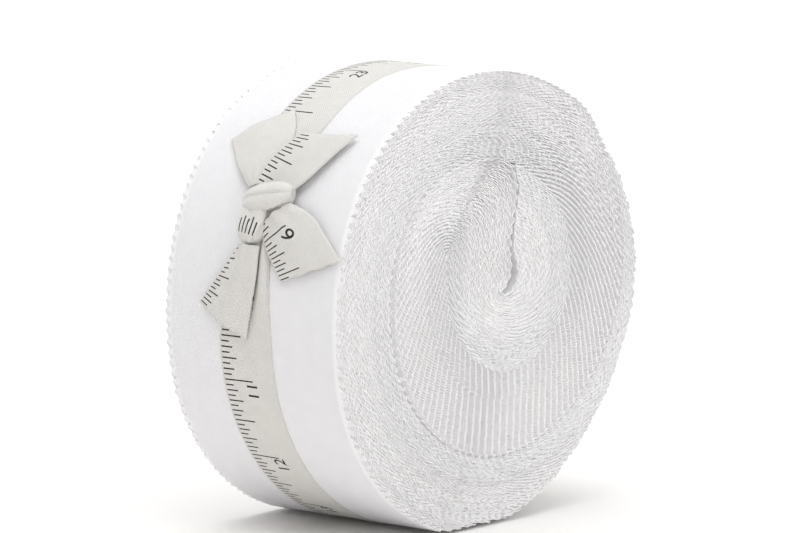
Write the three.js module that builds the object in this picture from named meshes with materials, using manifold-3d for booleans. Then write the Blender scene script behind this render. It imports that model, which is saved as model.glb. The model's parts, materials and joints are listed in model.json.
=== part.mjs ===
// A roll of precut fabric strips, tied round its middle with a cotton tape.
//
// Forty strips are folded in half and stacked, the stack is folded back on
// itself at its inner end and then rolled up. The roll stands on its rim.
// Units are millimetres and +Z is up. The roll's axis lies along Y, the spiral
// face that shows looks along -Y, and the knot of the tape is on the -X side.
// The origin is on the table, under the middle of the whole object's box.

import * as THREE from 'three';
import { mergeVertices } from 'three/addons/utils/BufferGeometryUtils.js';
import Module from 'manifold-3d';

const wasm = await Module();
wasm.setup();

// ---------------------------------------------------------------- dimensions

const stripWidth = 63.5;        // cut width of a strip, and so the roll's length
const axisHeight = 64.9;        // roll axis above the table, with the flat spot pressed in
const axisX = 0.48;             // roll axis, with the bow's reach on one side balanced

// Radius of the hand-rolled outline every 22.5 degrees, from +X towards +Z.
const outlineRadii = [
  68.5, 68.5, 67.0, 64.8, 64.5, 65.6, 66.4, 66.0,
  66.0, 67.4, 67.8, 67.2, 66.2, 64.8, 63.8, 65.6,
];

// The tooth-edged seam between the first turn and the second one.
const turnSeam = [
  { angle: 72, radius: 38.9 },
  { angle: 95, radius: 40.3 },
  { angle: 120, radius: 42.2 },
  { angle: 150, radius: 43.8 },
  { angle: 180, radius: 42.5 },
  { angle: 210, radius: 42.4 },
  { angle: 240, radius: 43.0 },
  { angle: 270, radius: 45.0 },
  { angle: 300, radius: 48.5 },
  { angle: 330, radius: 54.8 },
  { angle: 360, radius: 61.0 },
  { angle: 385, radius: 63.6 },
  { angle: 409, radius: 66.5 },
];

const coreMiddle = { x: 8.5, z: 6.5 };   // middle of the arc round the core
const coreRadius = 28.4;                 // from there to the seam inside the first turn
const foldTop = 18;                      // height of the stack's fold above the roll axis
const seamWidth = 1.0;                   // open width of a seam in the faces
const seamDepth = 2.6;                   // depth of a seam below its face
const slitWidth = 1.2;                   // slit between the two limbs of the core
const coreHole = { x: 7.0, z: 3.6, wide: 6.0, high: 8.0 };

const tapeWidth = 19;           // cotton tape, 3/4 inch
const tapeThickness = 1;
const tapeMiddle = 2;           // y of the band's middle
const tapeSink = 0.1;           // the tight band lies this far below the cloth beside it
const gap = 0.3;                // clearance between separate pieces

const knotAngle = 152.5;        // place of the knot on the roll's outline
const knotAcross = -1.5;        // y of the knot's middle

// The knot's two wraps: place on the roll's side (y, up along the outline),
// half sizes along y, along the outline and off the roll, and a turn in degrees.
const knotWraps = [
  { y: knotAcross, up: 0, halfY: 10.5, halfUp: 5.6, halfOut: 4.8, turn: 17 },
  { y: 0.8, up: -8.2, halfY: 5.4, halfUp: 6.4, halfOut: 3.7, turn: -8 },
];

// The four free ends. Each runs through three stations, and its cut may slant.
const tapeEnds = {
  ribbon_end_upper_right: {
    slant: -0.18, crease: 3.4,
    stations: [
      { y: -3.4, up: 2.5, lift: 3.4, width: 9 },
      { y: -9.2, up: 13.6, lift: 1.6, width: 15.2 },
      { y: -13.2, up: 22.4, lift: 1.2, width: 16.2 },
    ],
  },
  ribbon_end_upper_left: {
    slant: 0.02, crease: 1.6,
    stations: [
      { y: 2.6, up: 2.5, lift: 2.4, width: 7 },
      { y: 8.4, up: 13.8, lift: 1.2, width: 16.5 },
      { y: 14.4, up: 24.0, lift: 0.9, width: 19 },
    ],
  },
  ribbon_end_lower_right: {
    slant: 0.55, crease: 0.6,
    stations: [
      { y: -5.6, up: -2.5, lift: 3.2, width: 10 },
      { y: -13.0, up: -10.6, lift: 1.5, width: 17.5 },
      { y: -21.1, up: -17.4, lift: 0.9, width: 18.5 },
    ],
  },
  ribbon_end_lower_left: {
    slant: -0.12, crease: 2.4,
    stations: [
      { y: 1.2, up: -12.0, lift: 2.6, width: 8 },
      { y: 4.6, up: -22.6, lift: 1.4, width: 13.5 },
      { y: 9.6, up: -34.0, lift: 0.9, width: 18.5 },
    ],
  },
};

// ------------------------------------------------------------------- outline

const rad = THREE.MathUtils.degToRad;

// Radius of the outline at an angle, through the table by a smooth curve.
function outlineRadius(angle) {
  const count = outlineRadii.length;
  const place = (((angle % 360) + 360) % 360) / 360 * count;
  const i = Math.floor(place);
  const t = place - i;
  const [a, b, c, d] = [-1, 0, 1, 2].map((k) => outlineRadii[(i + k + count) % count]);
  return b + 0.5 * t * (c - a + t * (2 * a - 5 * b + 4 * c - d + t * (3 * (b - c) + d - a)));
}

// A point of the outline moved inwards, as seen on the face from -Y: x and z
// from the roll axis. The flat spot moves up with it.
function outlinePoint(angle, inset = 0) {
  const radius = outlineRadius(angle) - inset;
  return new THREE.Vector2(
    radius * Math.cos(rad(angle)),
    Math.max(radius * Math.sin(rad(angle)), inset - axisHeight),
  );
}

function outlineLoop(inset, steps = 144) {
  const points = [];
  for (let i = 0; i < steps; i++) points.push(outlinePoint(i * 360 / steps, inset));
  return points;
}

// -------------------------------------------------------------------- solids

// A face drawing, x and z from the roll axis, made into a solid between two y.
function faceSolid(shape, fromY, toY) {
  const geometry = new THREE.ExtrudeGeometry(shape, { depth: toY - fromY, bevelEnabled: false });
  geometry.rotateX(Math.PI / 2);
  geometry.translate(axisX, toY, axisHeight);
  return geometry;
}

function toManifold(geometry) {
  const bare = geometry.clone();
  bare.deleteAttribute('normal');
  bare.deleteAttribute('uv');
  const merged = mergeVertices(bare, 1e-4);
  return new wasm.Manifold(new wasm.Mesh({
    numProp: 3,
    vertProperties: new Float32Array(merged.attributes.position.array),
    triVerts: new Uint32Array(merged.index.array),
  }));
}

// Slivers left by the cuts are closed up first.
function toGeometry(manifold) {
  const mesh = manifold.simplify(0.02).getMesh();
  const geometry = new THREE.BufferGeometry();
  geometry.setAttribute('position', new THREE.BufferAttribute(new Float32Array(mesh.vertProperties), 3));
  geometry.setIndex(new THREE.BufferAttribute(new Uint32Array(mesh.triVerts), 1));
  geometry.computeVertexNormals();
  return geometry;
}

// A drawing of one pen stroke: a line on the face, widened to both sides.
function strokeShape(line, width) {
  const left = [];
  const right = [];
  line.forEach((point, i) => {
    const before = line[Math.max(i - 1, 0)];
    const after = line[Math.min(i + 1, line.length - 1)];
    const side = new THREE.Vector2(before.y - after.y, after.x - before.x).setLength(width / 2);
    left.push(point.clone().add(side));
    right.unshift(point.clone().sub(side));
  });
  return new THREE.Shape([...left, ...right]);
}

// The same cut in both faces of the roll, to one depth.
function cutBothFaces(body, shape, depth) {
  const half = stripWidth / 2;
  const front = toManifold(faceSolid(shape, -half - 1, -half + depth));
  const back = toManifold(faceSolid(shape, half - depth, half + 1));
  return body.subtract(front).subtract(back);
}

// ---------------------------------------------------------------------- roll

// Seam inside the first turn: down beside the fold, then round the core.
function innerSeamLine() {
  const line = [];
  for (let z = foldTop; z > coreMiddle.z; z -= 3) {
    line.push(new THREE.Vector2(coreMiddle.x - coreRadius, z));
  }
  for (let angle = 180; angle <= 440; angle += 6) {
    line.push(new THREE.Vector2(
      coreMiddle.x + coreRadius * Math.cos(rad(angle)),
      coreMiddle.z + coreRadius * Math.sin(rad(angle)),
    ));
  }
  return line;
}

// Seam outside the first turn, out to where the last strip ends on the outline.
function turnSeamLine() {
  const knots = turnSeam.map(({ angle, radius }) => new THREE.Vector3(
    radius * Math.cos(rad(angle)), radius * Math.sin(rad(angle)), 0));
  return new THREE.CatmullRomCurve3(knots).getPoints(96).map((p) => new THREE.Vector2(p.x, p.y));
}

function makeRoll() {
  const half = stripWidth / 2;
  let body = toManifold(faceSolid(new THREE.Shape(outlineLoop(0)), -half, half));

  // Channel that the tight tape presses into the cloth.
  const channel = new THREE.Shape(outlineLoop(-4));
  channel.holes.push(new THREE.Path(outlineLoop(tapeSink + tapeThickness + gap)));
  body = body.subtract(toManifold(faceSolid(
    channel, tapeMiddle - tapeWidth / 2 - gap, tapeMiddle + tapeWidth / 2 + gap)));

  // The seams between the turns, open in both faces.
  body = cutBothFaces(body, strokeShape(innerSeamLine(), seamWidth), seamDepth);
  body = cutBothFaces(body, strokeShape(turnSeamLine(), seamWidth), seamDepth);

  // Slit and small hole at the core, open from face to face.
  const slit = [[12.4, 37.5], [11.2, 25], [9.2, 13], [coreHole.x + 1, coreHole.z]]
    .map(([x, z]) => new THREE.Vector2(x, z));
  const hole = new THREE.Shape();
  hole.absellipse(coreHole.x, coreHole.z, coreHole.wide / 2, coreHole.high / 2, 0, 2 * Math.PI, false, 0);
  body = body.subtract(toManifold(faceSolid(strokeShape(slit, slitWidth), -half - 1, half + 1)));
  body = body.subtract(toManifold(faceSolid(hole, -half - 1, half + 1)));
  return body;
}

// ---------------------------------------------------------------------- tape

function makeBand() {
  const ring = new THREE.Shape(outlineLoop(tapeSink));
  ring.holes.push(new THREE.Path(outlineLoop(tapeSink + tapeThickness)));
  return faceSolid(ring, tapeMiddle - tapeWidth / 2, tapeMiddle + tapeWidth / 2);
}

// A point near the knot: y, way up along the outline, height off the outline.
function onSide(y, up, lift) {
  const angle = knotAngle - THREE.MathUtils.radToDeg(up / outlineRadius(knotAngle));
  const flat = outlinePoint(angle, -lift);
  return new THREE.Vector3(axisX + flat.x, y, axisHeight + flat.y);
}

// One wrap of the knot, fuller by `extra` on every side.
function wrapSolid({ y, up, halfY, halfUp, halfOut, turn }, extra = 0) {
  const geometry = new THREE.SphereGeometry(1, 28, 18);
  const cos = Math.cos(rad(turn));
  const sin = Math.sin(rad(turn));
  const at = geometry.attributes.position;
  for (let i = 0; i < at.count; i++) {
    const a = -at.getX(i) * (halfY + extra);   // mirrored, since y, up and out are left-handed
    const b = at.getY(i) * (halfUp + extra);
    const out = at.getZ(i) * (halfOut + extra);
    // The side that lies on the roll is flat.
    const lift = Math.max(out, -halfOut * 0.55 - extra) + halfOut * 0.55 + gap;
    const p = onSide(y + a * cos - b * sin, up + a * sin + b * cos, lift);
    at.setXYZ(i, p.x, p.y, p.z);
  }
  return toManifold(geometry);
}

function makeKnot(extra = 0) {
  const [first, second] = knotWraps.map((wrap) => wrapSolid(wrap, extra));
  return first.add(second);
}

// A free end as a sheet: along its three stations, flaring out of the knot, with
// a lengthwise crease. `extra` makes it thicker and wider for cutting clearance.
function endSolid({ stations, slant, crease }, extra = 0) {
  const along = 22;
  const across = 8;
  const middle = new THREE.CatmullRomCurve3(stations.map(({ y, up, lift }) => new THREE.Vector3(y, up, lift)));
  const widths = new THREE.CatmullRomCurve3(stations.map(({ width }, i) => new THREE.Vector3(i, width, 0)));

  function point(u, v) {
    const reach = Math.min(Math.max(u * (1 + slant * v), 0), 1.3);
    const t = Math.min(reach, 1);
    const p = middle.getPoint(t);
    const way = middle.getTangent(t);
    p.addScaledVector(way, (reach - t) * middle.getLength());
    const side = new THREE.Vector2(way.y, -way.x).normalize();
    const width = widths.getPoint(t).y + extra;
    const ridge = crease * (1 - Math.abs(2 * v)) * Math.sin(Math.PI * Math.min(1, 0.25 + 0.6 * u));
    return onSide(p.x + side.x * v * width, p.y + side.y * v * width, Math.max(p.z, 0.8) + ridge);
  }

  const thick = (tapeThickness + extra) / 2;
  const positions = [];
  for (const sheetSide of [1, -1]) {
    for (let i = 0; i <= along; i++) {
      for (let j = 0; j <= across; j++) {
        const u = i / along;
        const v = j / across - 0.5;
        const e = 1e-3;
        const du = point(u + e, v).sub(point(u - e, v));
        const dv = point(u, v + e).sub(point(u, v - e));
        const normal = du.cross(dv).normalize();
        const p = point(u, v).addScaledVector(normal, sheetSide * thick);
        positions.push(p.x, p.y, p.z);
      }
    }
  }
  const row = across + 1;
  const layer = (along + 1) * row;
  const index = [];
  const quad = (a, b, c, d) => index.push(a, b, c, a, c, d);
  for (let i = 0; i < along; i++) {
    for (let j = 0; j < across; j++) {
      const a = i * row + j;
      quad(a, a + row, a + row + 1, a + 1);
      quad(layer + a, layer + a + 1, layer + a + row + 1, layer + a + row);
    }
    const edge = i * row;
    quad(edge, layer + edge, layer + edge + row, edge + row);
    quad(edge + across, edge + row + across, layer + edge + row + across, layer + edge + across);
  }
  for (let j = 0; j < across; j++) {
    const last = along * row + j;
    quad(j, j + 1, layer + j + 1, layer + j);
    quad(last, layer + last, layer + last + 1, last + 1);
  }
  const geometry = new THREE.BufferGeometry();
  geometry.setAttribute('position', new THREE.Float32BufferAttribute(positions, 3));
  geometry.setIndex(index);
  return toManifold(geometry);
}

// ------------------------------------------------------------------ assembly

const cloth = { color: 0xeceaf0, roughness: 0.95, metalness: 0 };
const cotton = { color: 0xe9e2d3, roughness: 0.9, metalness: 0 };

function mesh(name, geometry, finish) {
  const piece = new THREE.Mesh(geometry, new THREE.MeshStandardMaterial(finish));
  piece.name = name;
  return piece;
}

const part = new THREE.Group();
part.add(mesh('roll', toGeometry(makeRoll()), cloth));
part.add(mesh('ribbon_band', makeBand(), cotton));
part.add(mesh('ribbon_knot', toGeometry(makeKnot()), cotton));

// The ends leave the knot one over the other, so each is cut clear of the knot
// and of the ends above it.
const clearance = 2 * gap;
const above = [makeKnot(gap)];
for (const [name, end] of Object.entries(tapeEnds)) {
  let sheet = endSolid(end);
  for (const other of above) sheet = sheet.subtract(other);
  part.add(mesh(name, toGeometry(sheet), cotton));
  above.push(endSolid(end, clearance));
}

export default part;
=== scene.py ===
# %% [markdown]
# # A roll of precut fabric strips, tied with a printed cotton tape
#
# Forty strips of white quilting cotton are folded in half, stacked and rolled
# up together. Each long edge of each strip is pinked, that is cut in small
# teeth, so the round face of the roll is all teeth. A cream tape goes round the
# middle and is tied in a knot with four short free ends.
#
# The whole roll could be one lump with a bump map on its face. It would look
# flat from close by, because the real face is made of thousands of cloth edges
# with deep shade between them. So here every strip is laid down as real cloth.
# One formula says where each layer lies, and the pattern of the teeth then
# comes out by itself, as it does when the real stack is wound.

import json
import math

import bpy
import numpy as np
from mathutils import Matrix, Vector

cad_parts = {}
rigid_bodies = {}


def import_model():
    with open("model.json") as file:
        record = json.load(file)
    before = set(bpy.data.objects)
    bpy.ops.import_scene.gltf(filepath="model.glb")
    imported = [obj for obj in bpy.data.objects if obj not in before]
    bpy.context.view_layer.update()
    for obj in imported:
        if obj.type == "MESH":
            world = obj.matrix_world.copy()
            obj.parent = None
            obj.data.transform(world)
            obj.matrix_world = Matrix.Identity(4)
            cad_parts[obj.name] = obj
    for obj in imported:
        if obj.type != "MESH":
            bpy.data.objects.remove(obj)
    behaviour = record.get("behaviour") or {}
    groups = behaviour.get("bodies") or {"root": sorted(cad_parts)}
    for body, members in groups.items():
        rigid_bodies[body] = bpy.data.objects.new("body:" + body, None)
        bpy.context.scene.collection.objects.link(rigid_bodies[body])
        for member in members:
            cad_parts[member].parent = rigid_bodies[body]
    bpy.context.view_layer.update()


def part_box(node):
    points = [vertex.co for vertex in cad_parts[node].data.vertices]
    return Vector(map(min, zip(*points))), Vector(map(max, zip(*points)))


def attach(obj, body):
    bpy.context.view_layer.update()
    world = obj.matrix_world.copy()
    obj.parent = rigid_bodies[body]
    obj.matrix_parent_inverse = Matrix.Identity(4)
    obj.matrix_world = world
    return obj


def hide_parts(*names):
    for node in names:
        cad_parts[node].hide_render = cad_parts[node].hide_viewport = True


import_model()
MM = 0.001
roll_low, roll_high = (np.array(c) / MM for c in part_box("roll"))
print("roll box, mm:", roll_low.round(1), roll_high.round(1))

# %% [markdown]
# ## Sizes
#
# The strip's width is the roll's length, so it is read from the frame. The
# stack is 80 layers deep, because each of the 40 strips is folded in half. The
# pinked teeth are 3 mm apart, as on the cloth that shears or a toothed knife
# cut. The roll's axis is the place that all radii are measured from.

# %% Sizes, in millimetres
STRIP_WIDTH = roll_high[1] - roll_low[1]
STRIP_LENGTH = 1118.0
STRIPS = 40
LAYERS = 2 * STRIPS
STACK_DEPTH = 24.0
CLOTH = 0.25                       # thickness of one layer
TOOTH_PITCH = 3.0
TOOTH_DEPTH = 1.25
AXIS_X = 0.48
AXIS_HEIGHT = 64.9
FLAT_BELOW = 65.0                  # from the axis down to the flat that the roll's weight presses
TAPE_WIDTH = 19.0
TAPE_THICK = 0.42
TAPE_MIDDLE = 2.0                  # y of the band's middle
print("strip", round(STRIP_WIDTH, 1), "x", STRIP_LENGTH, "mm,", LAYERS, "layers")

# %% [markdown]
# ## The camera
#
# The photograph was taken from the side of the knot, a little above the table,
# with a long lens. The camera here stands 1.6 m away at 50 degrees round and 8
# degrees up, and its lens gives 3.51 pixels for each millimetre of the roll in
# a picture 800 pixels wide.

# %% Camera at the photograph's angle
CAMERA_AZIMUTH, CAMERA_ELEVATION = -50.0, 8.0
CAMERA_AWAY = 1600.0
PIXELS_PER_MM = 3.51
PICTURE = (800, 533)
SENSOR_WIDTH = 36.0
AXIS_PIXEL = (404.3, 288.8)        # where the middle of the roll is in the picture


def camera_axes(azimuth, elevation):
    a, e = math.radians(azimuth), math.radians(elevation)
    back = np.array([math.sin(a) * math.cos(e), -math.cos(a) * math.cos(e), math.sin(e)])
    right = np.array([math.cos(a), math.sin(a), 0.0])
    return right, np.cross(back, right), back


right, up, back = camera_axes(CAMERA_AZIMUTH, CAMERA_ELEVATION)
aim = (np.array([AXIS_X, 0.0, AXIS_HEIGHT])
       - right * (AXIS_PIXEL[0] - PICTURE[0] / 2) / PIXELS_PER_MM
       + up * (AXIS_PIXEL[1] - PICTURE[1] / 2) / PIXELS_PER_MM)
camera_data = bpy.data.cameras.new("camera")
camera_data.sensor_width = SENSOR_WIDTH
camera_data.lens = SENSOR_WIDTH * PIXELS_PER_MM * CAMERA_AWAY / PICTURE[0]
camera_data.clip_start, camera_data.clip_end = 0.05, 20.0
camera = bpy.data.objects.new("camera", camera_data)
camera.location = Vector((aim + back * CAMERA_AWAY) * MM)
camera.rotation_mode = "QUATERNION"
camera.rotation_quaternion = Vector(-back).to_track_quat("-Z", "Y")
bpy.context.scene.collection.objects.link(camera)
bpy.context.scene.camera = camera
print("lens", round(camera_data.lens, 1), "mm")

# %% [markdown]
# ## The lines of the winding
#
# Seen on the face, the roll has three lines. The outline is where the cloth
# ends. The turn seam is the toothed line between the first turn and the second
# one: it starts at the top of the slit in the core, goes once round, and leaves
# the roll at the upper right. The core seam lies inside the first turn. A roll
# made by hand is never quite round, so the first two are short tables of
# radius against angle, and a smooth curve goes through each.

# %% Outline and turn seam
OUTLINE_STEP = 22.5                # degrees from one radius to the next
OUTLINE_RADII = [68.5, 68.5, 67.0, 64.8, 64.5, 65.6, 66.4, 66.0,
                 66.0, 67.4, 67.8, 67.2, 66.2, 64.8, 63.8, 65.6]
# Degrees: radius, once round and a little more.
TURN_SEAM = {72: 38.9, 95: 40.3, 120: 42.2, 150: 43.8, 180: 42.5, 210: 42.4, 240: 43.0,
             270: 45.0, 300: 48.5, 330: 54.8, 360: 61.0, 385: 63.6, 409: 66.5}


def smooth_through(places, values, at):
    """A smooth curve through a table of values, with the slope at each taken from its neighbours."""
    places, values, at = (np.asarray(a, float) for a in (places, values, at))
    slope = np.gradient(values, places)
    i = np.clip(np.searchsorted(places, at) - 1, 0, len(places) - 2)
    step = places[i + 1] - places[i]
    t = np.clip((at - places[i]) / step, 0, 1)
    a, b = values[i], values[i + 1]
    return ((2 * t ** 3 - 3 * t ** 2 + 1) * a + (t ** 3 - 2 * t ** 2 + t) * step * slope[i]
            + (3 * t ** 2 - 2 * t ** 3) * b + (t ** 3 - t ** 2) * step * slope[i + 1])


def outline_radius(angle):
    """Where the cloth ends. Downwards that is the flat the roll rests on."""
    places = range(-2, len(OUTLINE_RADII) + 3)           # a little more than once round
    table = [OUTLINE_RADII[k % len(OUTLINE_RADII)] for k in places]
    radius = smooth_through(np.array(places) * OUTLINE_STEP, table, np.asarray(angle) % 360)
    down = np.maximum(-np.sin(np.radians(angle)), 0.1)   # 0.1 keeps the flat away from the sides and the top
    return np.minimum(radius, FLAT_BELOW / down)


def seam_radius(angle):
    """Where the first turn ends and the second begins."""
    return smooth_through(list(TURN_SEAM), list(TURN_SEAM.values()), angle)


def polar(radius, angle, middle=(0.0, 0.0)):
    """Places (x, height) at a radius and an angle round a middle."""
    a = np.radians(angle)
    return np.stack([middle[0] + radius * np.cos(a), middle[1] + radius * np.sin(a)], -1)


print("outline at 0, 90, 180 degrees:", outline_radius(np.array([0, 90, 180])).round(1))

# %% [markdown]
# ## One layer's path
#
# The stack starts at the slit. It curls round the core and goes up the left
# limb, folds back on itself, and from there is wound round the outside of
# everything, one turn and three quarters in all. The path of a layer is built
# from rulers: at each step along the roll a short line crosses the stack from
# its inner side to its outer side, and a layer at depth s is that share of the
# way along it. The rulers turn about a few middles, like the hands that roll
# the cloth.

# %% Lines that the rulers run between
CORE = (8.5, 6.5)                  # middle of the core
CORE_RADIUS = 28.0                 # from there to the core seam
FOLD = (-19.5, 15.5)               # where the stack folds back on itself
CREST = (3.5, 6.5)                 # middle of the arc over the core's right side
CREST_RADIUS = 33.0                # from there to the core seam
CREST_DIP = 1.4                    # how much nearer the seam comes towards the slit ...
CREST_DIP_FROM = 30.0              # ... from this angle on
CREST_DIP_OVER = 25.0              # ... and over this many degrees
# The innermost cloth under the slit. Degrees under the core: (x, height).
HOOK_SIDE = {0: (12.3, 6.5), 30: (11.0, 3.4), 50: (8.8, 1.4), 70: (7.0, 0.7), 90: (6.2, 0.6),
             110: (5.7, 0.8), 130: (5.4, 1.2), 150: (5.4, 1.6), 180: (5.9, 2.4)}
# The same cloth on its way up the left limb. Height of the ruler: (x, height).
LIMB_SIDE = {6.5: (5.9, 2.4), 8.0: (7.0, 3.3), 9.5: (8.4, 4.6), 11.0: (9.3, 6.6),
             12.5: (9.2, 9.2), 14.0: (8.8, 12.2), 15.5: (8.9, 15.5)}
# And up along the slit to the top of the fold, (x, height).
SLIT_SIDE = [(8.9, 15.5), (9.9, 20.4), (11.3, 26.7), (12.0, 33.0), (11.4, 36.2), (8.5, 38.2)]
SEAM_START = 72.0
SEAM_END = 409.0
FOLD_SEAM = 97                     # degrees where the fold's outer side becomes the turn seam

seam_angles = np.arange(SEAM_START, SEAM_END + 0.1, 1.0)
seam_line = polar(seam_radius(seam_angles), seam_angles)
fold_side = np.concatenate([SLIT_SIDE, seam_line[seam_angles >= FOLD_SEAM]])


def reach(line, middle, angle):
    """How far a line is from a middle, in the direction of an angle."""
    way = np.asarray(line) - middle
    turned = np.degrees(np.unwrap(np.arctan2(way[:, 1], way[:, 0])))
    turned -= 360 * math.floor(turned[0] / 360 + 0.05)   # so that the line starts between -18 and 342
    return np.interp(angle, turned, np.hypot(way[:, 0], way[:, 1]))


def along_table(table, at):
    """Smooth places from a table of key: (x, height)."""
    places = np.array(list(table.values()))
    return np.stack([smooth_through(list(table), places[:, k], at) for k in (0, 1)], 1)


def ease(share):
    """From 0 to 1 with a soft start and a soft end."""
    share = np.clip(share, 0, 1)
    return share * share * (3 - 2 * share)


def crest_radius(angle):
    """The core seam over the core's right side, seen from CREST."""
    return CREST_RADIUS - CREST_DIP * ease((angle - CREST_DIP_FROM) / CREST_DIP_OVER)


print("turn seam:", len(seam_line), "points, from", seam_line[0].round(1), "to", seam_line[-1].round(1))

# %% [markdown]
# ## Seven sets of rulers
#
# The rulers come in seven sets: over the core, round under its hole, up the
# left limb, round the fold, down beside it, and round the first and the second
# turn. Where one set ends and the next begins, their spacing jumps, and the
# cloth would kink there. So at the end all rulers are slid along their two
# lines until they turn evenly.

# %% Rulers across the stack
HOLE_RADIUS = 8.5                  # from CREST to the innermost cloth
SLIT_TOP_ANGLE = 74.5              # seen from CREST
SEAM_OUT_ANGLE = 47.5              # seen from CREST, where the turn seam comes out at the outline
TURN_STEP = 2.0                    # degrees from ruler to ruler round the first turn
THINS_OVER = 151.0                 # degrees over which the stack thins out at its end
DEPTH_LIMITS = (17.0, 27.0)        # least and most depth of the stack on the second turn


def level(x, height):
    """Places (x, height), one for each height."""
    return np.stack(np.broadcast_arrays(x, height), 1)


def rulers():
    """Inner and outer end of each ruler, from before the start to past the end."""
    ends = []

    def add(inner, outer):
        ends.append(np.stack([inner, outer], 1))

    a = np.arange(100.0, 0.0, -2.0)                      # start limb, over the core
    add(polar(crest_radius(a), a, CREST), polar(HOLE_RADIUS, a, CREST))
    a = np.arange(0.0, -180.1, -3.0)                     # round under the hole
    add(polar(CORE_RADIUS, a, CORE), along_table(HOOK_SIDE, -a))
    z = np.arange(7.2, 15.4, 0.75)                       # up the left limb
    add(level(FOLD[0], z), along_table(LIMB_SIDE, z))
    a = np.arange(0.0, 180.1, 3.0)                       # the fold
    add(polar(0.0, a, FOLD), polar(reach(fold_side, FOLD, a), a, FOLD))
    z = np.arange(14.0, 6.6, -1.5)                       # down beside it
    beside = seam_line[(seam_angles > 156) & (seam_angles < 222)][::-1]
    add(level(FOLD[0], z), level(np.interp(z, beside[:, 1], beside[:, 0]), z))
    core_end = sum(len(e) for e in ends)
    below_core = core_end + round(90 / TURN_STEP)        # straight down: the next set starts at 180 degrees

    a = np.arange(180.0, 360.1, TURN_STEP)               # first turn, from the left side to the right
    add(polar(CORE_RADIUS, a, CORE), polar(reach(seam_line, CORE, a), a, CORE))
    a = np.arange(TURN_STEP, 90.1, TURN_STEP)            # and on to the top
    rim_angles = np.arange(30.0, 100.0)
    rim = polar(outline_radius(rim_angles), rim_angles)
    inner = np.where(a < SLIT_TOP_ANGLE, crest_radius(a), reach(seam_line, CREST, a))
    outer = np.where(a < SEAM_OUT_ANGLE, reach(seam_line, CREST, a + 360), reach(rim, CREST, a))
    add(polar(inner, a, CREST), polar(outer, a, CREST))
    a = np.arange(93.0, 421.0, 1.5)                      # second turn
    inner = seam_radius(np.minimum(a, SEAM_END))
    left = np.clip((SEAM_END - a) / THINS_OVER, 0.0, 1.0)     # share of the stack that is still there
    depth = (outline_radius(a) - inner) / np.maximum(left, 1e-3)
    add(polar(inner, a), polar(inner + np.clip(depth, *DEPTH_LIMITS), a))
    return even_fan(np.concatenate(ends)), below_core, core_end


def even_fan(ends, rounds=60):
    """Slide the rulers' ends along their two lines until the rulers turn evenly."""
    made = []
    for line in (ends[:, 0], ends[:, 1]):
        step = np.hypot(*np.diff(line, axis=0).T)
        place = np.concatenate([[0.0], np.cumsum(step)])
        even = place.copy()
        for _ in range(rounds):
            even[1:-1] = 0.25 * even[:-2] + 0.5 * even[1:-1] + 0.25 * even[2:]
        keep = np.concatenate([[True], step > 1e-9])
        made.append(np.stack([np.interp(even, place[keep], line[keep, k]) for k in (0, 1)], 1))
    return np.stack(made, 1)


RULERS, BOTTOM_RULER, CORE_RULERS = rulers()
below = RULERS[BOTTOM_RULER].round(1).tolist()
print(len(RULERS), "rulers; the one straight below the core is at", below)

# %% [markdown]
# ## Where each layer starts
#
# In the flat stack all the teeth are in line. Winding bends the stack, and an
# outer layer has further to go round a bend than an inner one, so the layers
# slide over each other and their teeth shear apart. On the real roll they are
# in line again straight below the core, and all the folded ends lie in one line
# beside the slit. So each layer's cloth is measured from the place where its
# path meets that line, and has the same length up to the place below the core.

# %% Paths of the layers
# Height: x of the line that the folded ends lie in, beside the slit.
STRIP_STARTS = {-3.0: 6.4, 1.0: 7.2, 2.4: 9.0, 5.0: 10.3, 12.3: 10.4, 20.0: 11.2, 26.0: 12.2,
                30.5: 12.7, 37.5: 10.6, 45.0: 9.5}
START_STRETCH = 90.0               # the folded ends lie in this first stretch of the paths
SMOOTHED = 2                       # times that a whole path is smoothed
CORE_SMOOTHED = 30                 # times more that a path in mid stack is smoothed round the core
CORE_FADE = 16                     # rulers over which that smoothing fades out
HALF_LENGTH = STRIP_LENGTH / 2
rng = np.random.default_rng(40)


def raw_path(depth):
    """Points along one layer, and their distance past the ruler below the core."""
    share = depth / STACK_DEPTH
    points = RULERS[:, 0] * (1 - share) + RULERS[:, 1] * share
    before_turn = CORE_RULERS - np.arange(len(points))
    loose = 0.5 * np.clip(before_turn / CORE_FADE + 0.5, 0.0, 1.0)[1:-1, None]
    for k in range(SMOOTHED + int(4 * CORE_SMOOTHED * share * (1 - share))):
        pull = 0.5 * (points[:-2] + points[2:]) - points[1:-1]
        points[1:-1] += pull * (0.5 if k < SMOOTHED else loose)
    step = np.hypot(*np.diff(points, axis=0).T)
    along = np.concatenate([[0.0], np.cumsum(step)])
    return points, along - along[BOTTOM_RULER]


def folded_end(depth):
    """How far before the ruler below the core a layer's folded end lies."""
    points, along = raw_path(depth)
    early = np.arange(along[0], along[0] + START_STRETCH, 0.2)
    x, height = (np.interp(early, along, points[:, k]) for k in (0, 1))
    line = np.interp(height, list(STRIP_STARTS), list(STRIP_STARTS.values()))
    return -early[np.argmax(x > line)]


BEFORE_BOTTOM = folded_end(0.0)


def layer_path(depth):
    """Points along one layer, and the length of cloth from its folded end to each."""
    points, along = raw_path(depth)
    before = folded_end(depth)
    cloth = np.where(along < 0, BEFORE_BOTTOM * (along + before) / before, BEFORE_BOTTOM + along)
    return points, cloth


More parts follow.
